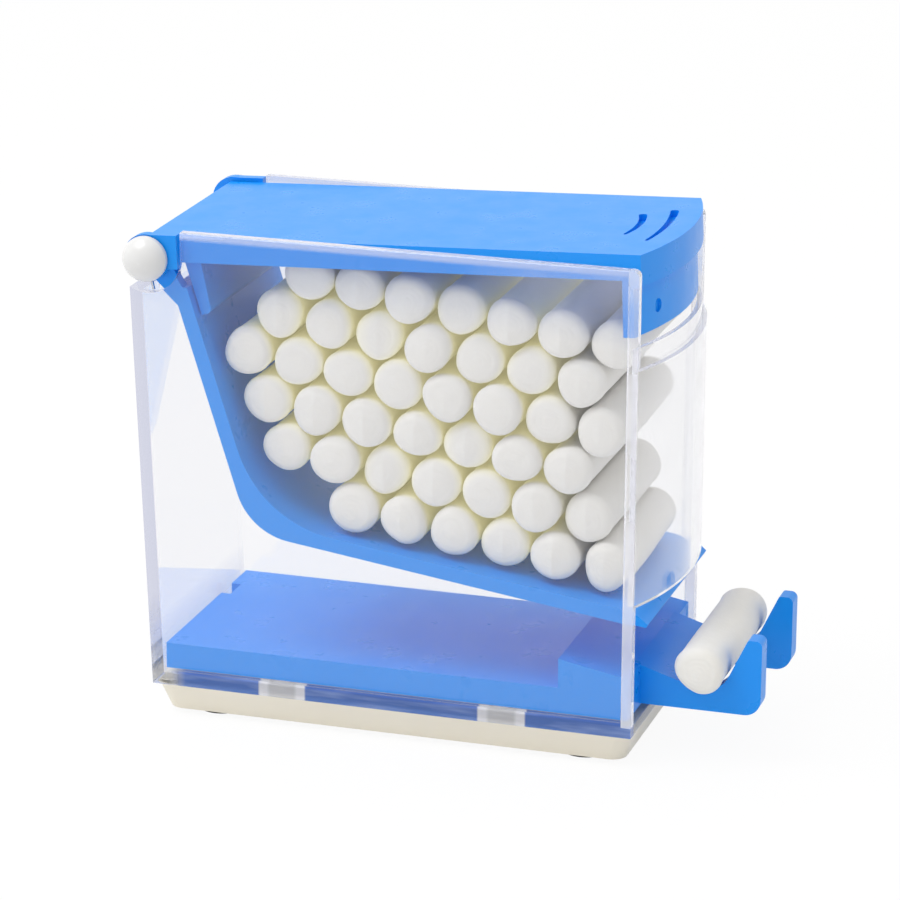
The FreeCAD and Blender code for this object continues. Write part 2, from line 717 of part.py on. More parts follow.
def lid_curve(sketch, outer, inner):
    """A strip that follows the lid's front curve from side to side."""
    y = moving_half
    draw(sketch, [
        (lid_front(outer, y), -y, "left", outer),
        (lid_front(outer, y), y),
        (lid_front(inner, y), y, "right", inner),
        (lid_front(inner, y), -y),
    ])


def finger_slot(sketch, reach, length):
    """A curved slot along the lid's front edge, round at both ends and wider at its far one."""
    x = lid_bow_x + s.lid_front_radius - reach
    half = length / 2
    radius = (half * half + s.slot_bow * s.slot_bow) / (2 * s.slot_bow)
    draw(sketch, [
        (x, -half, "left", radius),
        (x, half, "left", s.slot_far_width * 0.501),
        (x - s.slot_far_width, half, "right", radius),
        (x - s.slot_near_width, -half, "left", s.slot_near_width * 0.501),
    ])


# The lid, in its own frame at the pin: a plate with side skirts, a bowed front of two steps,
# cheeks on the pin, finger slots and a tab that pushes the hopper's back when the lid is pressed.
def make_lid():
    turn = FreeCAD.Rotation(Vector(0, -1, 0), s.lid_tilt.value)
    body = new_body("lid", "Lid", turn, s.pin_x, s.pin_z)
    under = s.lid_top - s.lid_plate
    y = moving_half
    outer = s.lid_front_radius
    plate = new_sketch(body, "plate", "XY_Plane", lift=under)
    draw(plate, [
        (s.lid_rear, -y),
        (lid_front(outer, y), -y, "left", outer),
        (lid_front(outer, y), y),
        (s.lid_rear, y),
    ])
    pad(body, plate, s.lid_plate)
    hollow = new_sketch(body, "hollow", "XZ_Plane")
    draw_circle(hollow, as_size(0), as_size(0), s.lid_hollow * 2)
    pocket(body, hollow, y * 2, symmetric=True)
    dress(body, "Fillet", "rear_round", s.lid_rear_round,
          lambda edge: lies(edge, "X", s.lid_rear.value) and lies(edge, "Z", s.lid_top.value))
    band = new_sketch(body, "band", "XY_Plane", lift=s.lid_top)
    lid_curve(band, outer, outer - s.lid_plate - s.lid_skirt_step)
    pad(body, band, s.lid_band, downward=True)
    skirt = new_sketch(body, "skirt", "XY_Plane", lift=under)
    lid_curve(skirt, outer - s.lid_skirt_step, outer - s.lid_skirt_step - s.lid_plate)
    pad(body, skirt, s.lid_skirt - s.lid_plate, downward=True)

    skirts = new_sketch(body, "side_skirts", "XY_Plane", lift=under)
    for edge in (y, s.lid_plate - y):
        draw(skirts, [
            (s.lid_shoulder, edge - s.lid_plate),
            (lid_front(outer - s.lid_plate, y), edge - s.lid_plate),
            (lid_front(outer - s.lid_plate, y), edge),
            (s.lid_shoulder, edge),
        ])
    pad(body, skirts, s.lid_side_skirt - s.lid_plate, downward=True)

    bridge_z = s.lid_top - s.lid_side_skirt
    half = s.case_width / 2
    for side, lift in (("near", half - s.case_wall), ("far", -half)):
        cheek = new_sketch(body, side + "_cheek", "XZ_Plane", lift=lift)
        draw(cheek, [
            (0, -s.cheek_radius * 0.5),
            (s.cheek_front, -s.cheek_bottom),
            (s.cheek_front, s.cheek_top),
            (0, s.cheek_top),
        ])
        pad(body, cheek, s.case_wall)
        eye = new_sketch(body, side + "_eye", "XZ_Plane", lift=lift)
        draw_circle(eye, as_size(0), as_size(0), s.cheek_radius * 2)
        pad(body, eye, s.case_wall)
    for side, lift in (("near", y - s.lid_plate), ("far", -half)):
        bridge = new_sketch(body, side + "_bridge", "XZ_Plane", lift=lift)
        draw(bridge, [
            (s.lid_shoulder, bridge_z),
            (s.cheek_front, bridge_z),
            (s.cheek_front, s.lid_top),
            (s.lid_shoulder, s.lid_top),
        ])
        pad(body, bridge, half - y + s.lid_plate)
    bore = new_sketch(body, "bore", "XZ_Plane")
    draw_circle(bore, as_size(0), as_size(0), s.pin_diameter + s.pin_play * 2)
    pocket(body, bore, s.case_width + 5, symmetric=True)

    lean = back - s.lid_tilt
    to_back = (s.hopper_heel_x - s.pin_x) * cosine(back)
    to_back = to_back + (s.hopper_heel_z - s.pin_z) * sine(back) + s.hopper_sheet
    face = to_back + s.tab_gap

    def tab_corner(depth, along):
        x = (face + depth) * cosine(lean) + along * sine(lean)
        z = (face + depth) * sine(lean) - along * cosine(lean)
        return x, z

    tab = new_sketch(body, "tab", "XZ_Plane")
    draw(tab, [
        tab_corner(as_size(0), -s.lid_plate / 2),
        tab_corner(as_size(0), s.tab_reach),
        tab_corner(s.tab_tip, s.tab_reach) + ("round", s.tab_tip / 2),
        tab_corner(s.tab_root, -s.lid_plate / 2),
    ])
    pad(body, tab, (y - s.tab_inset) * 2, symmetric=True)

    slots = new_sketch(body, "slots", "XY_Plane", lift=s.lid_top)
    finger_slot(slots, s.slot_front_reach, s.slot_front_length)
    finger_slot(slots, s.slot_rear_reach, s.slot_rear_length)
    pocket(body, slots, s.slot_depth)
    face = lid_front(outer - s.lid_skirt_step, s.dimple_side)
    dimple = new_sketch(body, "dimple", "YZ_Plane", lift=face - s.dimple_depth)
    draw_circle(dimple, -s.dimple_side, s.lid_top - s.dimple_drop, s.dimple_diameter)
    pocket(body, dimple, as_size(3), upward=True)


# The tray slides on the bosses: a plate, a ramp block that fills the mouth, and outside it two
# arms with a cradle and horns that stop the roll, with a gap between them for the fingers.
def make_tray():
    body = new_body("tray", "Tray")
    half = inner_half - s.tray_side_gap
    bottom = s.boss_height + s.tray_gap
    plate = new_sketch(body, "plate", "XY_Plane", lift=bottom)
    notch_x = s.tray_rear_x + s.tray_notch_depth
    notch_low = s.tray_notch_y - s.tray_notch_width / 2
    notch_high = s.tray_notch_y + s.tray_notch_width / 2
    draw(plate, [
        (s.tray_rear_x, -half),
        (s.tray_front_x, -half),
        (s.tray_front_x, half),
        (s.tray_rear_x, half),
        (s.tray_rear_x, notch_high),
        (notch_x, notch_high),
        (notch_x, notch_low),
        (s.tray_rear_x, notch_low),
    ])
    pad(body, plate, s.tray_thickness)
    block = new_sketch(body, "ramp", "XZ_Plane")
    ramp_end = s.ramp_z - (s.tray_front_x - s.ramp_x) * tangent(s.ramp_angle)
    draw(block, [
        (s.ramp_x, bottom),
        (s.tray_front_x, bottom),
        (s.tray_front_x, ramp_end),
        (s.ramp_x, s.ramp_z),
    ])
    pad(body, block, half * 2, symmetric=True)

    fork = new_sketch(body, "fork", "XZ_Plane")
    cradle = s.roll_diameter / 2 + s.cradle_gap
    land_x = s.cradle_x - cradle * sine(s.fork_slope)
    land_z = s.cradle_z - cradle * cosine(s.fork_slope)
    horn_x = s.cradle_x + cradle * sine(s.fork_horn)
    horn_z = s.cradle_z - cradle * cosine(s.fork_horn)
    tip_x = horn_x + (s.fork_top_z - horn_z) / tangent(s.fork_horn)
    root_x = s.tray_front_x - 1
    draw(fork, [
        (root_x, s.fork_bottom_z),
        (s.fork_front_x, s.fork_bottom_z, "round", s.fork_toe),
        (s.fork_front_x, s.fork_top_z, "round", as_size(1.2)),
        (tip_x, s.fork_top_z, "round", as_size(0.6)),
        (horn_x, horn_z, "right", cradle),
        (land_x, land_z),
        (root_x, land_z + (land_x - root_x) * tangent(s.fork_slope)),
    ])
    pad(body, fork, s.fork_width, symmetric=True)
    throat = new_sketch(body, "throat", "XY_Plane", lift=s.fork_top_z + 5)
    gap = s.fork_width / 2 - s.fork_arm
    ahead = s.fork_front_x + 5
    draw(throat, [
        (s.fork_throat_x, -gap, "round", s.fork_throat_corner),
        (ahead, -gap),
        (ahead, gap),
        (s.fork_throat_x, gap, "round", s.fork_throat_corner),
    ])
    pocket(body, throat, s.fork_top_z + 10)


# The roll that waits in the cradle.
def make_dispensed_roll():
    body = new_body("dispensed_roll", "Dispensed roll")
    end = new_sketch(body, "end", "XZ_Plane")
    draw_circle(end, s.cradle_x, s.cradle_z, s.roll_diameter)
    pad(body, end, s.roll_length, symmetric=True)


def from_line(x, z, start_x, start_z, end_x, end_z):
    """Distance of a point from a straight stretch."""
    along = Vector(end_x - start_x, 0, end_z - start_z)
    to_point = Vector(x - start_x, 0, z - start_z)
    share = min(max(to_point.dot(along) / along.dot(along), 0.0), 1.0)
    return (to_point - along * share).Length


def roll_fits(x, z):
    """Say whether a roll lies clear of the hopper, the window, the lid and the opening tab."""
    room = s.roll_diameter.value / 2 + s.roll_gap.value
    inner_x, inner_z = (size.value for size in hopper_inner_corner())
    across = (s.hopper_sheet / cosine(back)).value
    up = (s.hopper_sheet / cosine(floor_fall)).value
    top = s.hopper_top_z.value
    top_x = hopper_back_x(s.hopper_top_z).value + across
    lip_x = s.lip_start_x.value
    lip_z = hopper_floor_z(s.lip_start_x).value + up
    if from_line(x, z, top_x, top, inner_x, inner_z) < room:
        return False
    if from_line(x, z, inner_x, inner_z, lip_x, lip_z) < room:
        return False
    if x < inner_x - (z - inner_z) * math.tan(math.radians(back.value)):
        return False
    bend = s.hopper_inner_bend.value
    half_corner = math.radians(90 + back.value + floor_fall.value) / 2
    to_middle = bend / math.sin(half_corner)
    direction = half_corner - math.radians(floor_fall.value)
    middle_x = inner_x + to_middle * math.cos(direction)
    middle_z = inner_z + to_middle * math.sin(direction)
    depth = math.hypot(x - middle_x, z - middle_z)
    if x < middle_x and z < middle_z and depth > bend - room:
        return False
    window = bow(s.window_radius - s.window_wall, s.roll_length / 2).value
    skirt = s.lid_front_radius - s.lid_skirt_step - s.lid_plate
    skirt_x = (s.pin_x + lid_front(skirt, s.roll_length / 2)).value
    rise = math.tan(math.radians(s.lid_tilt.value))
    skirt_z = (s.pin_z + s.lid_top - s.lid_skirt).value + rise * (skirt_x - s.pin_x.value)
    lid_z = (s.pin_z + s.lid_top - s.lid_plate).value + rise * (x - s.pin_x.value)
    if x > window - room or z > lid_z - room:
        return False
    if z > skirt_z - room / 2 and x > skirt_x - room:
        return False
    tab_edge = math.hypot(s.tab_reach.value, 5.77 + s.tab_tip.value)
    to_pin = math.hypot(x - s.pin_x.value, z - s.pin_z.value)
    below = math.degrees(math.atan2(s.pin_z.value - z, x - s.pin_x.value))
    return below > 62 or to_pin > tab_edge + room


# The hopper's load: rows parallel to its floor, each row half a roll out of step with the next.
def make_roll_rows():
    names = ["first", "second", "third", "fourth", "fifth", "sixth", "seventh", "eighth"]
    fall = s.row_angle
    start_z = hopper_floor_z(s.first_roll_x) + s.hopper_sheet / cosine(floor_fall)
    start_z = start_z + (s.roll_diameter / 2 + s.roll_gap) / cosine(floor_fall) + s.first_row_lift
    for row in range(int(s.row_count.value)):
        body = new_body(f"{names[row]}_roll_row", f"{names[row].capitalize()} roll row")
        ends = new_sketch(body, "ends", "XZ_Plane")
        for place in range(-8, 12):
            step = place + (0.5 if row % 2 else 0.0)
            x = s.first_roll_x + s.roll_pitch * step * cosine(fall) + s.row_pitch * row * sine(fall)
            z = start_z - s.roll_pitch * step * sine(fall) + s.row_pitch * row * cosine(fall)
            if roll_fits(x.value, z.value):
                draw_circle(ends, x, z, s.roll_diameter)
        pad(body, ends, s.roll_length, symmetric=True)


def biarc(start, start_way, finish, finish_way):
    """Two arcs that join two points and keep both directions."""
    span = finish - start
    ways = start_way + finish_way
    bend = 2 * (1 - start_way.dot(finish_way))
    cross = span.dot(ways)
    reach = (-cross + math.sqrt(cross * cross + bend * span.dot(span))) / bend
    joint = (start + finish + (start_way - finish_way) * reach) * 0.5
    return [arc_from(start, start_way, joint), arc_from(finish, finish_way * -1, joint, True)]


def arc_from(point, way, other, backward=False):
    """The arc that leaves a point in a direction and ends at another point."""
    chord = other - point
    normal = way.cross(chord).cross(way).normalize()
    radius = chord.dot(chord) / (2 * chord.dot(normal))
    centre = point + normal * radius
    middle = centre + ((point + other) * 0.5 - centre).normalize() * radius
    ends = (other, middle, point) if backward else (point, middle, other)
    return Part.Arc(*ends).toShape()


# A torsion spring round the pin. One leg bears on the case's rear wall, the other on the back of
# the hopper, and both lean inward from the coil as tangents.
def make_return_spring(node, label, side):
    wire = s.spring_wire.value
    radius = s.spring_radius.value
    pin_x = s.pin_x.value
    pin_z = s.pin_z.value
    leg_z = s.spring_leg_z.value
    gap = s.spring_gap.value
    case_x = rear_face(s.spring_leg_z).value + s.case_wall.value + wire / 2 + 0.4
    hopper_x = hopper_back_x(s.spring_leg_z).value - wire / 2 - gap - 0.15

    def leave(x, hand):
        """Angle on the coil where a straight leg to (x, leg_z) leaves it."""
        to_x = x - pin_x
        to_z = leg_z - pin_z
        distance = math.hypot(to_x, to_z)
        return math.atan2(to_z, to_x) + hand * math.acos(radius / distance)

    first = leave(hopper_x, 1)
    last = leave(case_x, -1) + 2 * math.pi * s.spring_turns.value
    turn = last - first
    rise = s.spring_pitch.value * turn / (2 * math.pi)
    middle_y = (moving_half - s.lug_thickness + barrel_length / 2) / 2

    def coil(share):
        angle = first + turn * share
        y = side * rise * (share - 0.5)
        point = Vector(pin_x + radius * math.cos(angle), y, pin_z + radius * math.sin(angle))
        way = Vector(-radius * turn * math.sin(angle), side * rise, radius * turn * math.cos(angle))
        return point, way.normalize()

    quarters = max(int(round(turn / (math.pi / 2))), 4)
    edges = []
    start, start_way = coil(0.0)
    finish, finish_way = coil(1.0)
    hopper_leg = math.hypot(hopper_x - start.x, leg_z - start.z)
    case_leg = math.hypot(case_x - finish.x, leg_z - finish.z)
    edges.append(Part.LineSegment(start - start_way * hopper_leg, start).toShape())
    for part in range(quarters):
        here, here_way = coil(part / quarters)
        there, there_way = coil((part + 1) / quarters)
        edges.extend(biarc(here, here_way, there, there_way))
    edges.append(Part.LineSegment(finish, finish + finish_way * case_leg).toShape())
    path = Part.Wire(edges)
    section = Part.Wire(Part.Circle(start - start_way * hopper_leg, start_way, wire / 2).toShape())
    tube = Part.BRepOffsetAPI.MakePipeShell(path)
    tube.add(section)
    tube.build()
    tube.makeSolid()
    spring = doc.addObject("Part::Feature", node)
    spring.Label = label
    spring.Shape = tube.shape()
    place(spring, FreeCAD.Rotation(), as_size(0), middle_y * side, as_size(0))
    bodies[node] = spring
    print(node, "gap between turns", round(s.spring_pitch.value - wire, 2),
          "volume", round(spring.Shape.Volume, 2),
          "section times length", round(math.pi * wire * wire / 4 * path.Length, 2))


make_base()
make_rubber_feet()
make_case_screws()
make_clear_case()
make_front_window()
make_hinge_pin()
make_pin_cap("near_pin_cap", "Near pin cap", -1)
make_pin_cap("far_pin_cap", "Far pin cap", 1)
make_return_spring("near_return_spring", "Near return spring", -1)
make_return_spring("far_return_spring", "Far return spring", 1)
make_hopper()
make_lid()
make_tray()
make_dispensed_roll()
make_roll_rows()
doc.recompute()

for item in doc.Objects:
    for word in ("Invalid", "Error"):
        if word in item.State:
            raise ValueError(f"{item.Name} is in state {item.State}")
os.makedirs("parts", exist_ok=True)
for node, body in bodies.items():
    shape = body.Shape
    if shape.isNull() or not shape.isValid() or not shape.Solids:
        raise ValueError(f"{node} has no valid shape")
    shape.exportStep(f"parts/{node}.step")
    box = shape.BoundBox
    print(node, len(shape.Solids), round(shape.Volume, 1),
          [round(v, 2) for v in (box.XMin, box.XMax, box.YMin, box.YMax, box.ZMin, box.ZMax)])
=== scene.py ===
import math

import bpy
import numpy as np
from mathutils import Matrix, Vector, noise


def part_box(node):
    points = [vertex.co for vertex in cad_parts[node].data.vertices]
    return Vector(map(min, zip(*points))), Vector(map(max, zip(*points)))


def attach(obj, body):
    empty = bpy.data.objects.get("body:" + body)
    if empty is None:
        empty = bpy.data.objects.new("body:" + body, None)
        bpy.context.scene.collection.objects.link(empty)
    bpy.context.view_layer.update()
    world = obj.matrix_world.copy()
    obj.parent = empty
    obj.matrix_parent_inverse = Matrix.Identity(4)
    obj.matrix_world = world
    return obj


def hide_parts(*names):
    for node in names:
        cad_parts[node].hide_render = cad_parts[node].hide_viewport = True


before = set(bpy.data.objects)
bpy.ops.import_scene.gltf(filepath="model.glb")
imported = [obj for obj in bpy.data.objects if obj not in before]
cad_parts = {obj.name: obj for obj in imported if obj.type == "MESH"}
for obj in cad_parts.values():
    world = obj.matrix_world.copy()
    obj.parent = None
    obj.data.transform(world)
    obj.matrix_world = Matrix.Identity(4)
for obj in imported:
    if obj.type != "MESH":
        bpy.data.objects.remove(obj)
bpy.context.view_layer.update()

MM = 0.001

# Standpoint: a long lens looks at the dispenser's near side from the front right and a little
# above, so that the outlet, the lid's front and the whole near wall show.
camera_place = Vector((218.437, -715.176, 288.789)) * MM
camera_turn, camera_tip, camera_lean = 0.302304, 0.306397, 0.0049355
lens_length, sensor_width = 162.352, 36.0
nearest, farthest = 0.01, 50.0
ahead = Vector((
    -math.sin(camera_turn) * math.cos(camera_tip),
    math.cos(camera_turn) * math.cos(camera_tip),
    -math.sin(camera_tip),
))
level = Vector((math.cos(camera_turn), math.sin(camera_turn), 0.0))
over = level.cross(ahead)
right = level * math.cos(camera_lean) + over * math.sin(camera_lean)
up = over * math.cos(camera_lean) - level * math.sin(camera_lean)
camera_data = bpy.data.cameras.new("long_lens")
camera_data.lens = lens_length
camera_data.sensor_width = sensor_width
camera_data.clip_start = nearest
camera_data.clip_end = farthest
camera = bpy.data.objects.new("camera", camera_data)
camera.matrix_world = Matrix.Translation(camera_place) @ Matrix(
    (right, up, -ahead)
).transposed().to_4x4()
bpy.context.scene.collection.objects.link(camera)
bpy.context.scene.camera = camera
bpy.context.scene.view_settings.view_transform = "Standard"


def wire(nodes, source, target):
    """Joins one socket to another in a node tree."""
    nodes.id_data.links.new(source, target)


def add_node(nodes, kind, **settings):
    """A node of that kind, with its sockets and options set by name."""
    node = nodes.new(kind)
    for name, value in settings.items():
        if hasattr(node, name):
            setattr(node, name, value)
        else:
            node.inputs[name.replace("_", " ")].default_value = value
    return node


def joined(nodes, operation, first, *others):
    """The result of one operation on sockets and numbers, taken from left to right."""
    for other in others or (0.0,):
        node = add_node(nodes, "ShaderNodeMath", operation=operation)
        for target, source in zip(node.inputs, (first, other)):
            if isinstance(source, float):
                target.default_value = source
            else:
                wire(nodes, source, target)
        first = node.outputs[0]
    return first


def mixed_shader(nodes, share, first, second):
    """A shader socket between two shaders, at the given share of the second."""
    node = nodes.new("ShaderNodeMixShader")
    for target, source in zip(node.inputs, (share, first, second)):
        wire(nodes, source, target)
    return node.outputs[0]


def seen_directly(nodes):
    """1 for rays that show the surroundings: to the lens, in a gloss or through clear plastic."""
    path = nodes.new("ShaderNodeLightPath")
    rays = ("Is Camera Ray", "Is Glossy Ray", "Is Transmission Ray")
    return joined(nodes, "MAXIMUM", *(path.outputs[ray] for ray in rays))


# Table and studio: a white sweep with soft light from all round, one large soft lamp up to the
# left of the lens and a weaker one from the right. The table keeps a faint shadow.
room_white, room_light, room_rise = 1.0, 0.70, 0.55
brighter_side = (-0.50, 0.22, 0.84)
world = bpy.data.worlds.new("studio")
bpy.context.scene.world = world
world.use_nodes = True
nodes = world.node_tree.nodes
nodes.clear()
way = nodes.new("ShaderNodeTexCoord")
facing = add_node(nodes, "ShaderNodeVectorMath", operation="DOT_PRODUCT")
facing.inputs[1].default_value = brighter_side
wire(nodes, way.outputs["Generated"], facing.inputs[0])
risen = joined(nodes, "MULTIPLY", facing.outputs["Value"], room_rise)
lit = add_node(nodes, "ShaderNodeBackground", Color=(1.0, 0.995, 0.985, 1))
wire(nodes, joined(nodes, "ADD", risen, room_light), lit.inputs["Strength"])
shown = add_node(nodes, "ShaderNodeBackground", Color=(1, 1, 1, 1), Strength=room_white)
surroundings = mixed_shader(nodes, seen_directly(nodes), lit.outputs[0], shown.outputs[0])
wire(nodes, surroundings, nodes.new("ShaderNodeOutputWorld").inputs["Surface"])

table_white, table_share, half_table, table_drop = 0.86, 0.93, 6.0, 0.05 * MM
table_mesh = bpy.data.meshes.new("table_top")
corners = [(x * half_table, y * half_table, 0) for x, y in ((-1, -1), (1, -1), (1, 1), (-1, 1))]
table_mesh.from_pydata(corners, [], [(0, 1, 2, 3)])
table = bpy.data.objects.new("table_top", table_mesh)
table.location.z = -table_drop
bpy.context.scene.collection.objects.link(table)
white_paper = bpy.data.materials.new("white_paper")
white_paper.use_nodes = True
nodes = white_paper.node_tree.nodes
nodes.clear()
paper = add_node(nodes, "ShaderNodeBsdfDiffuse", Color=(table_white, table_white, table_white, 1))
glow = add_node(nodes, "ShaderNodeEmission", Color=(1, 1, 1, 1), Strength=1.0)
share = joined(nodes, "MULTIPLY", seen_directly(nodes), table_share)
sheet = mixed_shader(nodes, share, paper.outputs[0], glow.outputs[0])
wire(nodes, sheet, nodes.new("ShaderNodeOutputMaterial").inputs["Surface"])
table_mesh.materials.append(white_paper)

lit_point = Vector((0.0, 0.0, 0.05))
for name, place, watts, width in (
    ("soft_lamp", (-0.34, -0.22, 0.80), 3.2, 0.5),
    ("fill_lamp", (0.45, -0.70, 0.25), 0.3, 0.6),
):
    lamp_data = bpy.data.lights.new(name, "AREA")
    lamp_data.shape = "SQUARE"
    lamp_data.size = width
    lamp_data.energy = watts
    lamp = bpy.data.objects.new(name, lamp_data)
    lamp.location = place
    lamp.rotation_euler = (lit_point - Vector(place)).to_track_quat("-Z", "Y").to_euler()
    lamp.visible_camera = False
    bpy.context.scene.collection.objects.link(lamp)


# Base: an ivory plate moulded in ABS with drafted sides, screwed on under the clear case. Its
# skin is an even satin, and its colour drifts a little along the flow of the plastic.
def new_material(name):
    """A material, its nodes, its skin and the socket with the shown place of the part."""
    material = bpy.data.materials.new(name)
    material.use_nodes = True
    nodes = material.node_tree.nodes
    place = nodes.new("ShaderNodeTexCoord").outputs["Object"]
    return material, nodes, nodes["Principled BSDF"], place


def speckle(nodes, place, scale, detail, roughness):
    """A noise socket over the part. Every noise below is given as scale, detail and roughness."""
    texture = nodes.new("ShaderNodeTexNoise")
    texture.inputs["Scale"].default_value = scale
    texture.inputs["Detail"].default_value = detail
    texture.inputs["Roughness"].default_value = roughness
    wire(nodes, place, texture.inputs["Vector"])
    return texture.outputs["Fac"]


def spread(nodes, socket, start, end, low=0.0, high=1.0):
    """A socket that goes from low to high while the given one goes from start to end."""
    node = nodes.new("ShaderNodeMapRange")
    for name, value in zip(("From Min", "From Max", "To Min", "To Max"), (start, end, low, high)):
        node.inputs[name].default_value = value
    wire(nodes, socket, node.inputs["Value"])
    return node.outputs["Result"]


def blended(nodes, share, first, second):
    """A colour socket between two colours, sockets or numbers, at that share of the second."""
    node = add_node(nodes, "ShaderNodeMix", data_type="RGBA")
    wire(nodes, share, node.inputs["Factor"])
    for target, source in ((node.inputs["A"], first), (node.inputs["B"], second)):
        if isinstance(source, tuple):
            target.default_value = (*source, 1)
        else:
            wire(nodes, source, target)
    return node.outputs["Result"]


def add_relief(nodes, skin, height, strength, distance):
    """Gives a skin the fine relief of that height."""
    bump = nodes.new("ShaderNodeBump")
    bump.inputs["Strength"].default_value = strength
    bump.inputs["Distance"].default_value = distance
    wire(nodes, height, bump.inputs["Height"])
    wire(nodes, bump.outputs["Normal"], skin.inputs["Normal"])


flow_noise, smear_noise, grain_noise = (38.0, 3.0, 0.55), (160.0, 4.0, 0.6), (600.0, 1.0, 0.5)
smear_range, smoothest, roughest, grain_strength = (0.3, 0.7), 0.85, 1.2, 0.2


def moulded(name, colour, drift, roughness, gloss, grain=0.012):
    """A moulded plastic: a colour that drifts with the flow, a satin or gloss and a fine grain."""
    material, nodes, skin, place = new_material(name)
    flow = speckle(nodes, place, *flow_noise)
    wire(nodes, blended(nodes, flow, colour, drift), skin.inputs["Base Color"])
    smear = speckle(nodes, place, *smear_noise)
    dull = spread(nodes, smear, *smear_range, roughness * smoothest, roughness * roughest)
    wire(nodes, dull, skin.inputs["Roughness"])
    add_relief(nodes, skin, speckle(nodes, place, *grain_noise), grain_strength, grain * MM)
    skin.inputs["Specular IOR Level"].default_value = gloss
    return material


def finish(material, *names):
    """Puts one finish on those moulded or turned parts."""
    for name in names:
        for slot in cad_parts[name].material_slots:
            slot.material = material


ivory = moulded("ivory_abs", (0.80, 0.755, 0.645), (0.76, 0.71, 0.595), 0.38, 0.35)
finish(ivory, "base")

# Feet: four black rubber discs pressed into the base's underside. They are matt and slightly
# dusty, and only a dark line of them shows under the base.
rubber = moulded("black_rubber", (0.022, 0.022, 0.023), (0.045, 0.044, 0.042), 0.75, 0.3, 0.03)
finish(rubber, "rubber_feet")

# Case: bonded clear polystyrene, polished by the mould, so it shows as a pale glass with faintly
# blue edges, partly from its absorption and partly painted. Light reaches through it, and rays
# that stay in a wall end in a painted pale blue glow, which stands in for the light carried along
# the wall.
clear_white, painted_glow_blue = (0.975, 0.975, 0.98), (0.75, 0.76, 0.84)
depth_blue, depth_strength = (0.84, 0.85, 0.92), 22.0
polystyrene_ior, long_path, milk_gain = 1.56, 4.5, 3.0
scuff_noise, scuff_range, scuff_dullness = (55.0, 5.0, 0.65), (0.45, 0.8), 0.06
ripple_noise, ripple_strength, ripple_height = (26.0, 1.0, 0.4), 0.25, 0.05 * MM


def ramp(nodes, socket, start, end):
    """A socket that goes from 0 to 1 while the given one goes over those millimetres."""
    return spread(nodes, socket, start * MM, end * MM)


def cloud(nodes, place, share, noise_range, noise_settings):
    """A slow noise, stretched to go from 0 to the given share over that range."""
    return spread(nodes, speckle(nodes, place, *noise_settings), *noise_range, 0.0, share)


def along_axes(nodes, place):
    """The sockets of a place along x, y and z."""
    spot = nodes.new("ShaderNodeSeparateXYZ")
    wire(nodes, place, spot.inputs["Vector"])
    return spot.outputs


def clear_polystyrene(name, roughness):
    """Clear plastic: colourless across a wall and slightly blue along it, with faint rub marks,
    and a painted glow where rays stay in a wall.
    """
    material, nodes, glass, place = new_material(name)
    glass.inputs["IOR"].default_value = polystyrene_ior
    scuffs = speckle(nodes, place, *scuff_noise)
    dull = spread(nodes, scuffs, *scuff_range, roughness, roughness + scuff_dullness)
    wire(nodes, dull, glass.inputs["Roughness"])
    ripples = speckle(nodes, place, *ripple_noise)
    add_relief(nodes, glass, ripples, ripple_strength, ripple_height)
    path = nodes.new("ShaderNodeLightPath").outputs
    lights_things = joined(nodes, "MAXIMUM", path["Is Shadow Ray"], path["Is Diffuse Ray"])
    through = add_node(nodes, "ShaderNodeBsdfTransparent", Color=(0.97, 0.972, 0.98, 1))
    seen = mixed_shader(nodes, lights_things, glass.outputs[0], through.outputs[0])
    kept_in = joined(nodes, "GREATER_THAN", path["Ray Depth"], long_path)
    kept_in = joined(nodes, "MULTIPLY", kept_in, joined(nodes, "SUBTRACT", 1.0, lights_things))
    # Painted glow: rays kept in a wall end in this emission, which stands in for light carried
    # along the wall.
    painted_edge_glow = add_node(nodes, "ShaderNodeEmission", Color=(*painted_glow_blue, 1))
    output = nodes["Material Output"]
    surface = mixed_shader(nodes, kept_in, seen, painted_edge_glow.outputs[0])
    wire(nodes, surface, output.inputs["Surface"])
    inside = nodes.new("ShaderNodeVolumeAbsorption")
    inside.inputs["Color"].default_value = (*depth_blue, 1)
    inside.inputs["Density"].default_value = depth_strength
    wire(nodes, inside.outputs[0], output.inputs["Volume"])
    return material, nodes, place, glass, painted_edge_glow


def make_milky(nodes, glass, share, through_colour, milk_and_painted_light_tint):
    """Turns clear plastic milky at that share, with the milk's tint coming in sooner."""
    glass.inputs["Transmission Weight"].default_value = 1.0
    glass.inputs["Base Color"].default_value = (*clear_white, 1)
    tinted = joined(nodes, "MINIMUM", joined(nodes, "MULTIPLY", share, milk_gain), 1.0)
    wire(nodes, blended(nodes, tinted, through_colour, milk_and_painted_light_tint), glass.inputs["Base Color"])
    wire(nodes, joined(nodes, "SUBTRACT", 1.0, share), glass.inputs["Transmission Weight"])


# The case's lower edge is painted with a dark, streaky reflection of the tray's blue, and the ends
# of the screw bosses with painted shading, light at the rims and grey at the cores. Its rim is
# milky, its rear corner carries painted light, a pale wash over the shade there, its sides go
# milky in cloudy patches near the front of the top, and in front of the lid the wall is tinted
# darker as painted shade. Each pair of lengths says where a change begins and where it is
# complete, in millimetres.
floor_up, floor_back, wall_out = (9.7, 9.4), (-54.0, -50.5), (22.5, 22.9)
boss_places, boss_edge, core_edge = (-30.6, 13.6), (4.9, 4.5), (3.1, 2.4)
rim_up, corner_back, corner_up = (95.9, 96.4), (-56.6, -58.2), (20.0, 12.0)
patchy_up, patchy_front, lid_up = (82.0, 94.0), (5.0, 36.0), (83.0, 88.0)
painted_reflection_share, rim_milk, corner_pale_wash, patch_milk = 0.6, 0.27, 0.5, 0.22
streak_draw, streak_range, streak_noise = (0.16, 1.0, 1.7), (0.45, 0.75), (420.0, 2.0, 0.5)
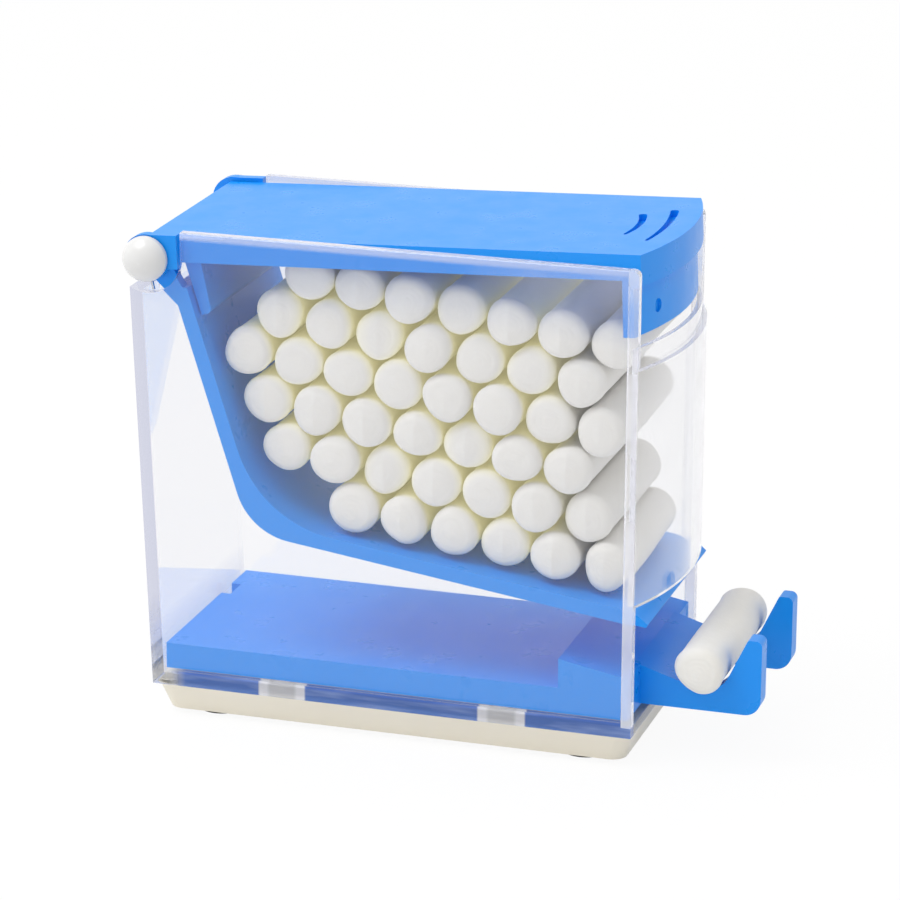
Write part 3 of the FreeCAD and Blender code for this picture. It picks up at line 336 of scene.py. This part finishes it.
patch_range, patch_noise = (0.2, 0.7), (70.0, 3.0, 0.6)
clear, nodes, place, glass, painted_edge_glow = clear_polystyrene("clear_case_plastic", 0.015)
x, y, z = along_axes(nodes, place)
# Painted reflection: along the floor the case is painted a dark, streaky blue that stands in for
# the tray reflected in it.
floor_share = joined(
    nodes, "MULTIPLY", ramp(nodes, z, *floor_up), ramp(nodes, x, *floor_back),
    ramp(nodes, joined(nodes, "ABSOLUTE", y), *wall_out),
)
drawn = add_node(nodes, "ShaderNodeVectorMath", operation="MULTIPLY")
drawn.inputs[1].default_value = streak_draw
wire(nodes, place, drawn.inputs[0])
streaks = cloud(nodes, drawn.outputs[0], 1.0, streak_range, streak_noise)
painted_tray_reflection = blended(nodes, streaks, (0.05, 0.15, 0.52), (0.24, 0.36, 0.74))
# Painted shading: each boss end is light at its rim and grey at its core, as a lit cylinder looks.
bosses, cores = [], []
for boss_x in boss_places:
    off_x = joined(nodes, "ABSOLUTE", joined(nodes, "SUBTRACT", x, boss_x * MM))
    bosses.append(ramp(nodes, off_x, *boss_edge))
    cores.append(ramp(nodes, off_x, *core_edge))
painted_core_shade = joined(nodes, "MAXIMUM", *cores)
painted_boss_shading = blended(nodes, painted_core_shade, (0.82, 0.82, 0.86), (0.60, 0.60, 0.62))
painted_reflection_and_shading = blended(nodes, joined(nodes, "MAXIMUM", *bosses), painted_tray_reflection, painted_boss_shading)
milk_and_painted_light_tint = blended(nodes, floor_share, (0.76, 0.78, 0.88), painted_reflection_and_shading)
milk_patches = cloud(nodes, place, patch_milk, patch_range, patch_noise)
# Painted light: a pale wash over the rear corner, where shade would otherwise show through.
corner_share = joined(nodes, "MULTIPLY", ramp(nodes, x, *corner_back), ramp(nodes, z, *corner_up))
milk_share = joined(
    nodes, "MAXIMUM",
    joined(nodes, "MULTIPLY", floor_share, painted_reflection_share),
    joined(nodes, "MULTIPLY", ramp(nodes, z, *patchy_up), ramp(nodes, x, *patchy_front), milk_patches),
    joined(nodes, "MULTIPLY", ramp(nodes, z, *rim_up), rim_milk),
    joined(nodes, "MULTIPLY", corner_share, corner_pale_wash),
)
# Painted shade: the wall in front of the lid is tinted darker, for the shade on the lid's side
# seen through it.
through_colour = blended(nodes, ramp(nodes, z, *lid_up), clear_white, (0.88, 0.90, 0.955))
make_milky(nodes, glass, milk_share, through_colour, milk_and_painted_light_tint)
# Along the floor the painted glow of kept rays takes the painted reflection and the boss shading.
wire(nodes, blended(nodes, floor_share, painted_glow_blue, painted_reflection_and_shading), painted_edge_glow.inputs["Color"])
finish(clear, "clear_case")

# Window: a bent strip of the same clear plastic, with a post bonded to each side wall of the
# case. The posts are milky along the bond, and the panel has a slight milky haze, painted to stand
# in for the grey of reflections in it.
post_back, post_out, post_milk, panel_painted_haze = (39.4, 39.1), (22.6, 22.9), 0.34, 0.13
bond_range, bond_noise = (0.1, 0.6), (45.0, 2.0, 0.5)
haze_range, haze_noise = (0.1, 0.7), (30.0, 2.0, 0.5)
clear_window, nodes, place, glass, _ = clear_polystyrene("clear_window_plastic", 0.02)
x, y, _ = along_axes(nodes, place)
post_share = joined(
    nodes, "MULTIPLY", ramp(nodes, x, *post_back),
    ramp(nodes, joined(nodes, "ABSOLUTE", y), *post_out),
    cloud(nodes, place, post_milk, bond_range, bond_noise),
)
# Painted reflection: the panel's slight haze stands in for the grey of reflections in it.
haze = cloud(nodes, place, panel_painted_haze, haze_range, haze_noise)
milk_share = joined(nodes, "MAXIMUM", post_share, haze)
make_milky(nodes, glass, milk_share, clear_white, (0.93, 0.925, 0.945))
finish(clear_window, "front_window")


# Screws: zinc-plated steel, driven up through the base into the case's bosses. Their plate is
# dull and drawn into faint streaks across the part.
draw_scale, draw_noise, worn_share = (1.0, 0.15, 1.0), (1400.0, 4.0, 0.6), 0.72
brightest, dullest = 0.7, 1.5


def plated_steel(name, colour, roughness):
    """Bright plated steel with a drawn, slightly streaked surface."""
    material, nodes, skin, place = new_material(name)
    skin.inputs["Metallic"].default_value = 1.0
    stretch = nodes.new("ShaderNodeMapping")
    stretch.inputs["Scale"].default_value = draw_scale
    wire(nodes, place, stretch.inputs["Vector"])
    streaks = speckle(nodes, stretch.outputs["Vector"], *draw_noise)
    worn = tuple(part * worn_share for part in colour)
    wire(nodes, blended(nodes, streaks, colour, worn), skin.inputs["Base Color"])
    dull = spread(nodes, streaks, 0.0, 1.0, roughness * brightest, roughness * dullest)
    wire(nodes, dull, skin.inputs["Roughness"])
    return material


finish(plated_steel("zinc_plate", (0.60, 0.60, 0.59), 0.32), "case_screws")

# Pin and springs: the pin crosses the case's barrel at the rear top, and a return spring is
# wound round each end of it. All three are bright spring steel.
spring_steel = plated_steel("spring_steel", (0.66, 0.67, 0.69), 0.22)
finish(spring_steel, "hinge_pin", "near_return_spring", "far_return_spring")

# Pin caps: glossy white nylon buttons pushed onto both ends of the pin, where they keep the
# lid's cheeks and the hopper's lugs together.
white_nylon = moulded("white_nylon", (0.69, 0.69, 0.69), (0.65, 0.648, 0.645), 0.22, 0.5, 0.006)
finish(white_nylon, "near_pin_cap", "far_pin_cap")

# Hopper, lid and tray: mouldings in one saturated sky-blue ABS with a smooth, slightly soft
# gloss. The sheet is thin enough to let a little light through.
blue, blue_drift = (0.004, 0.305, 0.93), (0.004, 0.288, 0.89)
glow_through = 0.12
blue_abs = moulded("blue_abs", blue, blue_drift, 0.3, 0.38, 0.0015)
nodes = blue_abs.node_tree.nodes
glowing = add_node(nodes, "ShaderNodeBsdfTranslucent", Color=(0.0, 0.30, 0.95, 1))
mix = nodes.new("ShaderNodeMixShader")
mix.inputs[0].default_value = glow_through
wire(nodes, nodes["Principled BSDF"].outputs[0], mix.inputs[1])
wire(nodes, glowing.outputs[0], mix.inputs[2])
wire(nodes, mix.outputs[0], nodes["Material Output"].inputs["Surface"])
finish(blue_abs, "hopper", "lid", "tray")

# Cotton rolls: rolled cotton wadding in a thin bonded skin, 10 mm thick and 40 mm long. The ends
# show the turns of the winding as soft ridges and no two are alike. The gaps are deep, and in them
# the cotton is painted warm yellow with a faint painted glow, standing in for light bounced
# between the rolls.
inner_y, under_lid, behind_front, painted_gap_glow = (18.9, 16.4), (91.0, 86.0), (26.0, 20.0), 0.05
fibre_noise, tuft_noise = (900.0, 6.0, 0.7), (260.0, 3.0, 0.6)
nap_strength, nap_height = 0.5, 0.12 * MM
cotton, nodes, skin, place = new_material("wound_cotton")
skin.inputs["Roughness"].default_value = 0.95
skin.inputs["Specular IOR Level"].default_value = 0.15
skin.inputs["Sheen Weight"].default_value = 0.25
skin.inputs["Sheen Roughness"].default_value = 0.6
x, y, z = along_axes(nodes, place)
# Painted bounce light: away from the ends, under the lid and behind the front, the cotton turns
# warm yellow and glows faintly.
painted_gap_light = joined(
    nodes, "MULTIPLY", ramp(nodes, joined(nodes, "ABSOLUTE", y), *inner_y),
    ramp(nodes, z, *under_lid), ramp(nodes, x, *behind_front),
)
fibres = speckle(nodes, place, *fibre_noise)
tufts = speckle(nodes, place, *tuft_noise)
tint = blended(nodes, tufts, (0.79, 0.777, 0.745), (0.755, 0.737, 0.69))
wire(nodes, blended(nodes, painted_gap_light, tint, (1.0, 0.965, 0.70)), skin.inputs["Base Color"])
skin.inputs["Emission Color"].default_value = (1.0, 0.94, 0.52, 1)
wire(nodes, joined(nodes, "MULTIPLY", painted_gap_light, painted_gap_glow), skin.inputs["Emission Strength"])
add_relief(nodes, skin, joined(nodes, "ADD", fibres, tufts), nap_strength, nap_height)

# The form of a roll: a flat end, a rounded edge and a wall, each divided finely enough for the
# windings, dents and creases. Dent, crease, lean and push are in millimetres, and each roll has
# its own seed, so that a row looks the same every time.
turns_round, end_rings, edge_rings, wall_rings = 56, 17, 7, 22
inmost_ring, edge_start = 0.06, 0.2
winding_pitch, winding_depth = 0.95 * MM, 0.045 * MM
edge_round, end_fill, swelling = 1.6 * MM, 0.55 * MM, 1.02
tuft_rise, tuft_scale, other_end = 0.07 * MM, 700.0, 3.0
wall_dent, dent_round, dent_along, next_dent = 0.10, 1.6, 110.0, 7.3
wall_crease, crease_round, crease_along, next_crease = 0.03, 3.0, 600.0, 2.7
ovals, trefoils, most_lean, most_push = (0.02, 0.11), (0.0, 0.07), 0.9, 0.8
first_seed, roll_pitch = 900, 10.05 * MM
solid_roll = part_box("dispensed_roll")
roll_radius = (solid_roll[1].z - solid_roll[0].z) / 2


def wind_roll(centre, radius, near_y, far_y, number):
    """The points and faces of one roll, from the middle of its near end to the far end's."""
    draw = np.random.default_rng(first_seed + number)
    oval, trefoil = draw.uniform(*ovals), draw.uniform(*trefoils)
    oval_at, trefoil_at, start = draw.uniform(0, math.tau, 3)
    lean = draw.uniform(-most_lean, most_lean, 2) * MM
    push = draw.uniform(-most_push, most_push) * MM
    radius = radius * swelling
    angles = np.arange(turns_round) * math.tau / turns_round
    squeeze = 1 - oval * (1 - np.cos(2 * (angles - oval_at))) / 2
    squeeze = squeeze - trefoil * (1 - np.cos(3 * (angles - trefoil_at))) / 2
    flat = radius - edge_round
    rows = [(share * flat, 0.0) for share in np.linspace(inmost_ring, 1.0, end_rings)]
    rows += [
        (flat + edge_round * math.sin(a), edge_round * (1 - math.cos(a)))
        for a in np.linspace(edge_start, math.pi / 2, edge_rings)
    ]
    points = []
    middle_y = (near_y + far_y) / 2 + push
    reach = (far_y - near_y) / 2
    for side in (-1, 1):
        end_y = middle_y + side * reach
        ring_list = []
        for out, back in rows:
            calm = min(1.0, max(0.0, (radius - out) / edge_round)) * min(1.0, out / winding_pitch)
            ring = []
            for angle, squash_here in zip(angles, squeeze):
                turn = (out / winding_pitch - side * angle / math.tau + start) % 1.0
                ridge = (0.5 - abs(turn - 0.5)) * 2
                inward = back + winding_depth * (1 - ridge ** 2) * calm
                inward += end_fill * (out / radius) ** 2
                x = centre[0] + math.cos(angle) * out * squash_here
                z = centre[1] + math.sin(angle) * out * squash_here
                tuft = noise.noise(Vector((x, side * other_end + number, z)) * tuft_scale)
                tilt = lean[0] * math.cos(angle) if side < 0 else lean[1] * math.sin(angle)
                tilt = tilt * out / radius
                y = end_y - side * (inward + tuft_rise * (tuft + 1) + abs(tilt))
                ring.append((x, y, z))
            ring_list.append(ring)
        points.append(ring_list)
    near_rings, far_rings = points
    wall = []
    for step in np.linspace(0, 1, wall_rings)[1:-1]:
        ring = []
        for index, (angle, squash_here) in enumerate(zip(angles, squeeze)):
            across, along = math.cos(angle), math.sin(angle)
            y = near_rings[-1][index][1] * (1 - step) + far_rings[-1][index][1] * step
            dent_at = across * dent_round, along * dent_round, y * dent_along + number * next_dent
            crease_at = angle * crease_round, y * crease_along, number * next_crease
            dent = wall_dent * (noise.noise(Vector(dent_at)) + 1)
            crease = wall_crease * (noise.noise(Vector(crease_at)) + 1)
            out = radius * squash_here - (dent + crease) * MM
            ring.append((centre[0] + across * out, y, centre[1] + along * out))
        wall.append(ring)
    middle_near = (centre[0], near_rings[0][0][1], centre[1])
    middle_far = (centre[0], far_rings[0][0][1], centre[1])
    stack = near_rings + wall + far_rings[::-1]
    vertices = [middle_near] + [p for ring in stack for p in ring] + [middle_far]
    faces = []
    last = len(vertices) - 1
    last_ring = 1 + (len(stack) - 1) * turns_round
    for i in range(turns_round):
        j = (i + 1) % turns_round
        faces.append((0, 1 + i, 1 + j))
        for row in range(len(stack) - 1):
            a = 1 + row * turns_round
            b = a + turns_round
            faces.append((a + i, b + i, b + j, a + j))
        faces.append((last_ring + i, last, last_ring + j))
    return vertices, faces


def cotton_rolls(name, node, body, first_number):
    """One row of rolls, lying where the row's own solids lie."""
    low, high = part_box(node)
    first = Vector((low.x + roll_radius, high.z - roll_radius))
    last = Vector((high.x - roll_radius, low.z + roll_radius))
    steps = round((last - first).length / roll_pitch)
    vertices, faces = [], []
    for number in range(steps + 1):
        centre = first.lerp(last, number / steps) if steps else first
        more, corners = wind_roll(centre, roll_radius, low.y, high.y, first_number + number)
        faces += [tuple(c + len(vertices) for c in face) for face in corners]
        vertices += more
    mesh = bpy.data.meshes.new(name)
    mesh.from_pydata(vertices, [], faces)
    mesh.materials.append(cotton)
    mesh.shade_smooth()
    row = bpy.data.objects.new(name, mesh)
    bpy.context.scene.collection.objects.link(row)
    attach(row, body)
    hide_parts(node)


for row_number, order in enumerate(("first", "second", "third", "fourth", "fifth", "sixth")):
    cotton_rolls(f"{order}_row_of_cotton", f"{order}_roll_row", "hopper_body", 10 * row_number)

# Roll at the outlet: it has run down the tray's ramp and waits in the fork. It rides on a body
# of its own, so that it can be lifted out.
cotton_rolls("waiting_cotton_roll", "dispensed_roll", "roll_body", 77)
